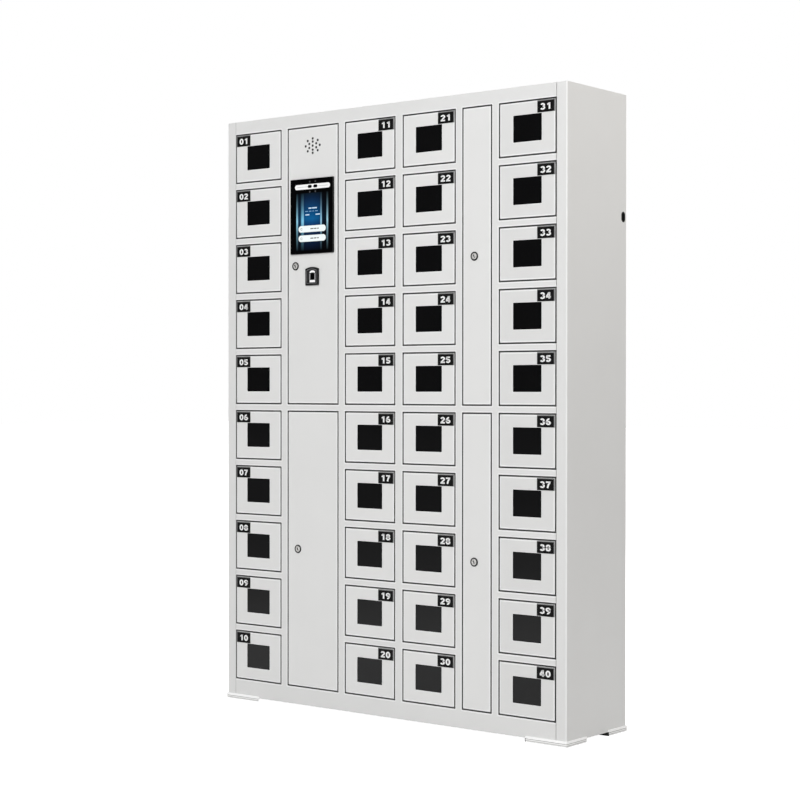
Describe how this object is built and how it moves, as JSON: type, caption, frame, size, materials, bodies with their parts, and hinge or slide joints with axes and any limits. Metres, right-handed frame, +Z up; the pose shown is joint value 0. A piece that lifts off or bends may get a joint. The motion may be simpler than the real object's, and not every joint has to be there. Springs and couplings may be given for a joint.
{
  "type": "cell phone locker box",
  "caption": "Upright steel cabinet of numbered phone compartments with windowed, electrically locked doors, service bays and a face-recognition terminal.",
  "frame": {"origin": "on the floor, under the middle of the cabinet's bounding box, which includes its feet and its terminal", "axes": "+Z up, +X to the right as seen by a person who faces the doors, -Y towards that person, out of the front"},
  "size_m": [1.1108, 0.276, 1.5735],
  "materials": {
    "body_paint": "light grey powder coat, fine satin texture",
    "door_paint": "light grey powder coat, fine satin texture",
    "foot_plastic": "moulded plastic",
    "lock_case": "zinc-plated steel case",
    "electronics_case": "plain sheet",
    "grommet_rubber": "soft rubber",
    "terminal_black": "black glass and plastic",
    "reader_black": "fine moulded texture",
    "speaker_frame": "moulded",
    "lock_chrome": "polished chrome plate"
  },
  "bodies": {
    "cabinet": {"shell_panels": "body_paint", "back_panel": "body_paint", "front_frame": "body_paint", "compartment_walls": "body_paint", "shelves": "body_paint", "corner_feet": "foot_plastic", "electric_locks": "lock_case", "control_electronics": "electronics_case", "cable_grommet": "grommet_rubber"},
    "control_door": {"control_door": "door_paint", "control_terminal": "terminal_black", "fingerprint_reader": "reader_black", "speaker": "speaker_frame"},
    "control_door_cam": {"control_door_cam": "lock_chrome"},
    "power_door": {"power_door": "door_paint"},
    "power_door_cam": {"power_door_cam": "lock_chrome"},
    "upper_wiring_door": {"upper_wiring_door": "door_paint"},
    "upper_wiring_door_cam": {"upper_wiring_door_cam": "lock_chrome"},
    "lower_wiring_door": {"lower_wiring_door": "door_paint"},
    "lower_wiring_door_cam": {"lower_wiring_door_cam": "lock_chrome"},
    "door_01": {"door_01": "door_paint"},
    "door_02": {"door_02": "door_paint"},
    "door_03": {"door_03": "door_paint"},
    "door_04": {"door_04": "door_paint"},
    "door_05": {"door_05": "door_paint"},
    "door_06": {"door_06": "door_paint"},
    "door_07": {"door_07": "door_paint"},
    "door_08": {"door_08": "door_paint"},
    "door_09": {"door_09": "door_paint"},
    "door_10": {"door_10": "door_paint"},
    "door_11": {"door_11": "door_paint"},
    "door_12": {"door_12": "door_paint"},
    "door_13": {"door_13": "door_paint"},
    "door_14": {"door_14": "door_paint"},
    "door_15": {"door_15": "door_paint"},
    "door_16": {"door_16": "door_paint"},
    "door_17": {"door_17": "door_paint"},
    "door_18": {"door_18": "door_paint"},
    "door_19": {"door_19": "door_paint"},
    "door_20": {"door_20": "door_paint"},
    "door_21": {"door_21": "door_paint"},
    "door_22": {"door_22": "door_paint"},
    "door_23": {"door_23": "door_paint"},
    "door_24": {"door_24": "door_paint"},
    "door_25": {"door_25": "door_paint"},
    "door_26": {"door_26": "door_paint"},
    "door_27": {"door_27": "door_paint"},
    "door_28": {"door_28": "door_paint"},
    "door_29": {"door_29": "door_paint"},
    "door_30": {"door_30": "door_paint"},
    "door_31": {"door_31": "door_paint"},
    "door_32": {"door_32": "door_paint"},
    "door_33": {"door_33": "door_paint"},
    "door_34": {"door_34": "door_paint"},
    "door_35": {"door_35": "door_paint"},
    "door_36": {"door_36": "door_paint"},
    "door_37": {"door_37": "door_paint"},
    "door_38": {"door_38": "door_paint"},
    "door_39": {"door_39": "door_paint"},
    "door_40": {"door_40": "door_paint"}
  },
  "joints": [
    {"name": "control_door_hinge", "type": "hinge", "parent": "cabinet", "child": "control_door", "pos_m": [-0.1674, -0.129, 1.1725], "axis": [0, 0, 1], "range_deg": [0, 90]},
    {"name": "power_door_hinge", "type": "hinge", "parent": "cabinet", "child": "power_door", "pos_m": [-0.1674, -0.129, 0.4225], "axis": [0, 0, 1], "range_deg": [0, 90]},
    {"name": "upper_wiring_door_hinge", "type": "hinge", "parent": "cabinet", "child": "upper_wiring_door", "pos_m": [0.3228, -0.129, 1.1725], "axis": [0, 0, 1], "range_deg": [0, 90]},
    {"name": "lower_wiring_door_hinge", "type": "hinge", "parent": "cabinet", "child": "lower_wiring_door", "pos_m": [0.3228, -0.129, 0.4225], "axis": [0, 0, 1], "range_deg": [0, 90]},
    {"name": "control_door_key", "type": "hinge", "parent": "control_door", "child": "control_door_cam", "pos_m": [-0.304, -0.133, 1.1725], "axis": [0, 1, 0], "range_deg": [0, 90]},
    {"name": "power_door_key", "type": "hinge", "parent": "power_door", "child": "power_door_cam", "pos_m": [-0.2953, -0.133, 0.4225], "axis": [0, 1, 0], "range_deg": [0, 90]},
    {"name": "upper_wiring_door_key", "type": "hinge", "parent": "upper_wiring_door", "child": "upper_wiring_door_cam", "pos_m": [0.2829, -0.133, 1.1725], "axis": [0, 1, 0], "range_deg": [0, 90]},
    {"name": "lower_wiring_door_key", "type": "hinge", "parent": "lower_wiring_door", "child": "lower_wiring_door_cam", "pos_m": [0.2829, -0.133, 0.4225], "axis": [0, 1, 0], "range_deg": [0, 90]},
    {"name": "door_01_hinge", "type": "hinge", "parent": "cabinet", "child": "door_01", "pos_m": [-0.5104, -0.129, 1.4725], "axis": [0, 0, -1], "range_deg": [0, 90]},
    {"name": "door_02_hinge", "type": "hinge", "parent": "cabinet", "child": "door_02", "pos_m": [-0.5104, -0.129, 1.3225], "axis": [0, 0, -1], "range_deg": [0, 90]},
    {"name": "door_03_hinge", "type": "hinge", "parent": "cabinet", "child": "door_03", "pos_m": [-0.5104, -0.129, 1.1725], "axis": [0, 0, -1], "range_deg": [0, 90]},
    {"name": "door_04_hinge", "type": "hinge", "parent": "cabinet", "child": "door_04", "pos_m": [-0.5104, -0.129, 1.0225], "axis": [0, 0, -1], "range_deg": [0, 90]},
    {"name": "door_05_hinge", "type": "hinge", "parent": "cabinet", "child": "door_05", "pos_m": [-0.5104, -0.129, 0.8725], "axis": [0, 0, -1], "range_deg": [0, 90]},
    {"name": "door_06_hinge", "type": "hinge", "parent": "cabinet", "child": "door_06", "pos_m": [-0.5104, -0.129, 0.7225], "axis": [0, 0, -1], "range_deg": [0, 90]},
    {"name": "door_07_hinge", "type": "hinge", "parent": "cabinet", "child": "door_07", "pos_m": [-0.5104, -0.129, 0.5725], "axis": [0, 0, -1], "range_deg": [0, 90]},
    {"name": "door_08_hinge", "type": "hinge", "parent": "cabinet", "child": "door_08", "pos_m": [-0.5104, -0.129, 0.4225], "axis": [0, 0, -1], "range_deg": [0, 90]},
    {"name": "door_09_hinge", "type": "hinge", "parent": "cabinet", "child": "door_09", "pos_m": [-0.5104, -0.129, 0.2725], "axis": [0, 0, -1], "range_deg": [0, 90]},
    {"name": "door_10_hinge", "type": "hinge", "parent": "cabinet", "child": "door_10", "pos_m": [-0.5104, -0.129, 0.1225], "axis": [0, 0, -1], "range_deg": [0, 90]},
    {"name": "door_11_hinge", "type": "hinge", "parent": "cabinet", "child": "door_11", "pos_m": [0.0218, -0.129, 1.4725], "axis": [0, 0, 1], "range_deg": [0, 90]},
    {"name": "door_12_hinge", "type": "hinge", "parent": "cabinet", "child": "door_12", "pos_m": [0.0218, -0.129, 1.3225], "axis": [0, 0, 1], "range_deg": [0, 90]},
    {"name": "door_13_hinge", "type": "hinge", "parent": "cabinet", "child": "door_13", "pos_m": [0.0218, -0.129, 1.1725], "axis": [0, 0, 1], "range_deg": [0, 90]},
    {"name": "door_14_hinge", "type": "hinge", "parent": "cabinet", "child": "door_14", "pos_m": [0.0218, -0.129, 1.0225], "axis": [0, 0, 1], "range_deg": [0, 90]},
    {"name": "door_15_hinge", "type": "hinge", "parent": "cabinet", "child": "door_15", "pos_m": [0.0218, -0.129, 0.8725], "axis": [0, 0, 1], "range_deg": [0, 90]},
    {"name": "door_16_hinge", "type": "hinge", "parent": "cabinet", "child": "door_16", "pos_m": [0.0218, -0.129, 0.7225], "axis": [0, 0, 1], "range_deg": [0, 90]},
    {"name": "door_17_hinge", "type": "hinge", "parent": "cabinet", "child": "door_17", "pos_m": [0.0218, -0.129, 0.5725], "axis": [0, 0, 1], "range_deg": [0, 90]},
    {"name": "door_18_hinge", "type": "hinge", "parent": "cabinet", "child": "door_18", "pos_m": [0.0218, -0.129, 0.4225], "axis": [0, 0, 1], "range_deg": [0, 90]},
    {"name": "door_19_hinge", "type": "hinge", "parent": "cabinet", "child": "door_19", "pos_m": [0.0218, -0.129, 0.2725], "axis": [0, 0, 1], "range_deg": [0, 90]},
    {"name": "door_20_hinge", "type": "hinge", "parent": "cabinet", "child": "door_20", "pos_m": [0.0218, -0.129, 0.1225], "axis": [0, 0, 1], "range_deg": [0, 90]},
    {"name": "door_21_hinge", "type": "hinge", "parent": "cabinet", "child": "door_21", "pos_m": [0.0698, -0.129, 1.4725], "axis": [0, 0, -1], "range_deg": [0, 90]},
    {"name": "door_22_hinge", "type": "hinge", "parent": "cabinet", "child": "door_22", "pos_m": [0.0698, -0.129, 1.3225], "axis": [0, 0, -1], "range_deg": [0, 90]},
    {"name": "door_23_hinge", "type": "hinge", "parent": "cabinet", "child": "door_23", "pos_m": [0.0698, -0.129, 1.1725], "axis": [0, 0, -1], "range_deg": [0, 90]},
    {"name": "door_24_hinge", "type": "hinge", "parent": "cabinet", "child": "door_24", "pos_m": [0.0698, -0.129, 1.0225], "axis": [0, 0, -1], "range_deg": [0, 90]},
    {"name": "door_25_hinge", "type": "hinge", "parent": "cabinet", "child": "door_25", "pos_m": [0.0698, -0.129, 0.8725], "axis": [0, 0, -1], "range_deg": [0, 90]},
    {"name": "door_26_hinge", "type": "hinge", "parent": "cabinet", "child": "door_26", "pos_m": [0.0698, -0.129, 0.7225], "axis": [0, 0, -1], "range_deg": [0, 90]},
    {"name": "door_27_hinge", "type": "hinge", "parent": "cabinet", "child": "door_27", "pos_m": [0.0698, -0.129, 0.5725], "axis": [0, 0, -1], "range_deg": [0, 90]},
    {"name": "door_28_hinge", "type": "hinge", "parent": "cabinet", "child": "door_28", "pos_m": [0.0698, -0.129, 0.4225], "axis": [0, 0, -1], "range_deg": [0, 90]},
    {"name": "door_29_hinge", "type": "hinge", "parent": "cabinet", "child": "door_29", "pos_m": [0.0698, -0.129, 0.2725], "axis": [0, 0, -1], "range_deg": [0, 90]},
    {"name": "door_30_hinge", "type": "hinge", "parent": "cabinet", "child": "door_30", "pos_m": [0.0698, -0.129, 0.1225], "axis": [0, 0, -1], "range_deg": [0, 90]},
    {"name": "door_31_hinge", "type": "hinge", "parent": "cabinet", "child": "door_31", "pos_m": [0.5104, -0.129, 1.4725], "axis": [0, 0, 1], "range_deg": [0, 90]},
    {"name": "door_32_hinge", "type": "hinge", "parent": "cabinet", "child": "door_32", "pos_m": [0.5104, -0.129, 1.3225], "axis": [0, 0, 1], "range_deg": [0, 90]},
    {"name": "door_33_hinge", "type": "hinge", "parent": "cabinet", "child": "door_33", "pos_m": [0.5104, -0.129, 1.1725], "axis": [0, 0, 1], "range_deg": [0, 90]},
    {"name": "door_34_hinge", "type": "hinge", "parent": "cabinet", "child": "door_34", "pos_m": [0.5104, -0.129, 1.0225], "axis": [0, 0, 1], "range_deg": [0, 90]},
    {"name": "door_35_hinge", "type": "hinge", "parent": "cabinet", "child": "door_35", "pos_m": [0.5104, -0.129, 0.8725], "axis": [0, 0, 1], "range_deg": [0, 90]},
    {"name": "door_36_hinge", "type": "hinge", "parent": "cabinet", "child": "door_36", "pos_m": [0.5104, -0.129, 0.7225], "axis": [0, 0, 1], "range_deg": [0, 90]},
    {"name": "door_37_hinge", "type": "hinge", "parent": "cabinet", "child": "door_37", "pos_m": [0.5104, -0.129, 0.5725], "axis": [0, 0, 1], "range_deg": [0, 90]},
    {"name": "door_38_hinge", "type": "hinge", "parent": "cabinet", "child": "door_38", "pos_m": [0.5104, -0.129, 0.4225], "axis": [0, 0, 1], "range_deg": [0, 90]},
    {"name": "door_39_hinge", "type": "hinge", "parent": "cabinet", "child": "door_39", "pos_m": [0.5104, -0.129, 0.2725], "axis": [0, 0, 1], "range_deg": [0, 90]},
    {"name": "door_40_hinge", "type": "hinge", "parent": "cabinet", "child": "door_40", "pos_m": [0.5104, -0.129, 0.1225], "axis": [0, 0, 1], "range_deg": [0, 90]}
  ]
}
